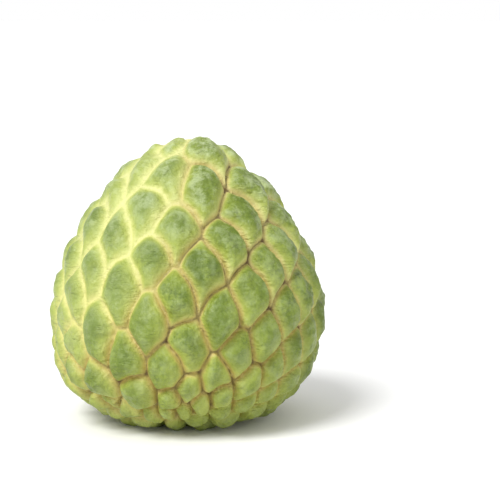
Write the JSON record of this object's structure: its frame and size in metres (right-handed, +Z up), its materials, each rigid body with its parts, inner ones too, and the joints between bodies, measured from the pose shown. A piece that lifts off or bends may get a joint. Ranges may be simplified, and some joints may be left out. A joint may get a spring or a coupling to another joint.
{
  "type": "custard apple",
  "caption": "Whole ripe custard apple with raised overlapping green scales, a stem hollow and a short woody stem, resting on its blunt end.",
  "frame": {"origin": "middle of the underside, on the surface that the fruit rests on", "axes": "+Z up, close to the line from the blunt scaly tip to the stem end; the side seen in the picture faces -Y, and the stem end leans towards +Y"},
  "size_m": [0.107, 0.1084, 0.1096],
  "materials": {
    "skin": "waxy mottled green skin with pale yellow-green seams and a faint bloom",
    "stem_wood": "dry rough brown bark with a paler cut end"
  },
  "bodies": {
    "root": {"fruit": "skin", "stem": "stem_wood"}
  },
  "joints": []
}
